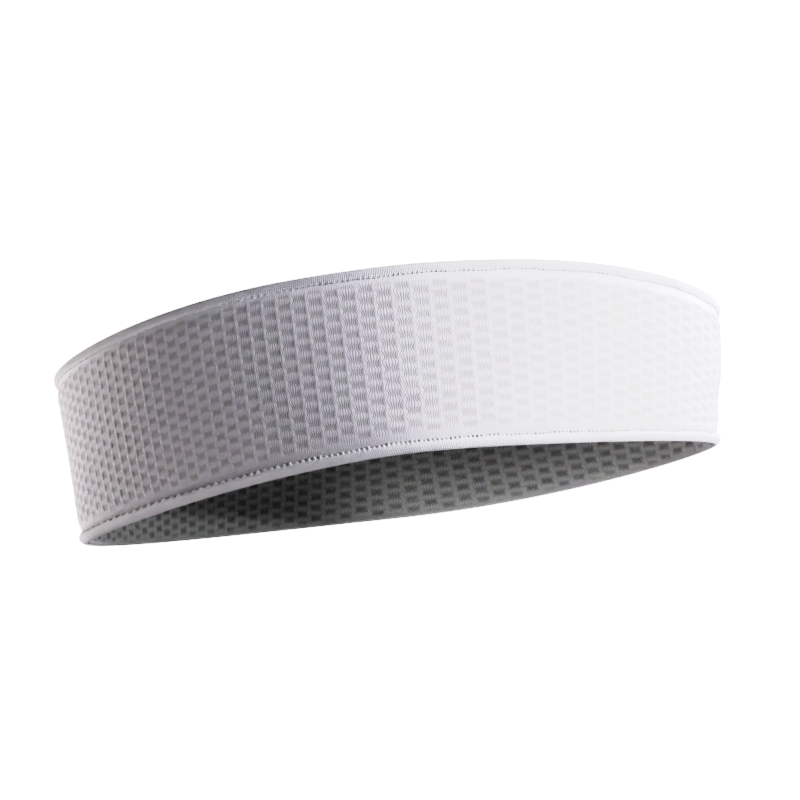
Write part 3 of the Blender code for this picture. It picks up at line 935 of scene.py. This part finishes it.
def add_world(above, below, backdrop):
    """Dim light from above, more from below as off a glowing table, and a white backdrop."""
    world = bpy.data.worlds.new("studio")
    bpy.context.scene.world = world
    world.use_nodes = True
    tree = world.node_tree
    dim = tree.nodes["Background"]
    dim.inputs["Color"].default_value = (1, 1, 1, 1)
    direction = tree.nodes.new("ShaderNodeSeparateXYZ")
    tree.links.new(tree.nodes.new("ShaderNodeTexCoord").outputs["Generated"], direction.inputs[0])
    strength = tree.nodes.new("ShaderNodeMapRange")
    tree.links.new(direction.outputs["Z"], strength.inputs["Value"])
    for name, value in (("From Min", -0.15), ("From Max", 0.05), ("To Min", below), ("To Max", above)):
        strength.inputs[name].default_value = value
    tree.links.new(strength.outputs["Result"], dim.inputs["Strength"])
    white = tree.nodes.new("ShaderNodeBackground")
    white.inputs["Color"].default_value = (1, 1, 1, 1)
    white.inputs["Strength"].default_value = backdrop
    rays = tree.nodes.new("ShaderNodeLightPath")
    choice = tree.nodes.new("ShaderNodeMixShader")
    tree.links.new(rays.outputs["Is Camera Ray"], choice.inputs["Fac"])
    tree.links.new(dim.outputs[0], choice.inputs[1])
    tree.links.new(white.outputs[0], choice.inputs[2])
    tree.links.new(choice.outputs[0], tree.nodes["World Output"].inputs["Surface"])


def add_studio():
    bpy.ops.mesh.primitive_circle_add(vertices=96, radius=6, fill_type="NGON", location=(0, 0, 0))
    floor = bpy.context.object
    floor.name = "floor"
    floor.data.materials.append(floor_material())
    floor.visible_diffuse = False
    floor.visible_glossy = False
    add_softbox("key", (-0.55, -0.28, 0.012), 14.0, width=0.40, height=0.018, colour=COOL)
    add_softbox("rim_light", (0.78, 0.36, 0.50), 7.0, width=0.30, height=0.22, colour=WARM)
    add_softbox("edge_light", (0.92, 0.36, 0.02), 12.6, width=0.25, height=0.035, colour=WARM)
    add_softbox("far_rim_fill", (-0.04, -0.03, 0.068), 0.008, width=0.09, height=0.03,
                target=(-0.035, 0.05, 0.066), spread=42)
    add_softbox("corner_fill", (-0.95, 0.15, 0.075), 4.3, width=0.20, height=0.04)
    add_softbox("back_fill", (0.25, 0.95, 0.03), 1.2, width=0.6, height=0.05)
    add_world(above=0.02, below=0.05, backdrop=FLOOR_GLOW)
    set_tone()


def set_tone():
    """The picture's tone curve, whose last point is the white of the floor."""
    view = bpy.context.scene.view_settings
    view.view_transform = "Standard"
    view.look = "None"
    view.use_curve_mapping = True
    mapping = view.curve_mapping
    most_light = TONE_CURVE[-1][0]
    mapping.white_level = (most_light, most_light, most_light)
    curve = mapping.curves[3]
    for light, shown in TONE_CURVE[1:-1]:
        curve.points.new(light / most_light, shown)
    mapping.update()


# ---- build -----------------------------------------------------------------------------------------
# The shell's plain colour, lighter than its ridges, is partly painted light on the bands beside the rims,
# and its dimple colour is partly painted shade in the hollows.
shell_knit = knit_material("shell_knit", ridge=(0.74, 0.705, 0.735), dimple=(0.47, 0.445, 0.45),
                           groove=(0.38, 0.36, 0.36), line=(0.86, 0.845, 0.87),
                           plain=(0.90, 0.885, 0.91), sheen=0.20, blur=0.01, fuzzy=1.0)
# The lining's dark dimple colour is partly the knit's own tone and partly painted shade in the hollows.
lining_knit = knit_material("lining_knit", ridge=(0.63, 0.63, 0.635), dimple=(0.20, 0.20, 0.205),
                            groove=(0.17, 0.17, 0.17), line=(0.72, 0.72, 0.72),
                            plain=(0.60, 0.60, 0.60), sheen=0.10, blur=0.06, fuzzy=1.7)
# The binding's third colour is its paler cut edge, partly a painted highlight.
binding_rib = rib_material("binding_rib", (0.78, 0.77, 0.785), (0.55, 0.54, 0.55), (0.88, 0.865, 0.88))
sewing_thread = thread_material("sewing_thread", (0.86, 0.85, 0.87), (0.72, 0.71, 0.73))
core_terry = terry_material("core_terry", (0.82, 0.82, 0.82), (0.55, 0.55, 0.55))
elastic_cord = braid_material("elastic_cord", (0.78, 0.77, 0.75), (0.42, 0.41, 0.40))
tape_weave = tape_material("seam_tape", (0.60, 0.60, 0.61), (0.40, 0.40, 0.41))

simulate_swell()
shell = knit_strip("outer_shell", shell_face, shell_back, SHELL_EDGE, SHELL_PLAIN, SHELL_PLAIN_LOSS,
                   SHELL_FLATTENED, shell_knit, both("outer_shell"))
lining = knit_strip("inner_lining", lining_face, lining_back, LINING_EDGE, LINING_PLAIN, 0,
                    LINING_FLATTENED, lining_knit, both("inner_lining"))
terry = core(core_terry)
for rim, upper in (("upper", True), ("lower", False)):
    roll = binding(f"{rim}_binding", upper, binding_rib, both(f"{rim}_binding"))
    elastic(f"{rim}_elastic", upper, elastic_cord, both(f"{rim}_elastic"))
    topstitch(f"{rim}_topstitch", upper, sewing_thread, both(f"{rim}_topstitch"))
    bartack(f"{rim}_bartack", upper, sewing_thread)
seam_thread(sewing_thread)
seam_tape(tape_weave)

add_camera()
add_studio()
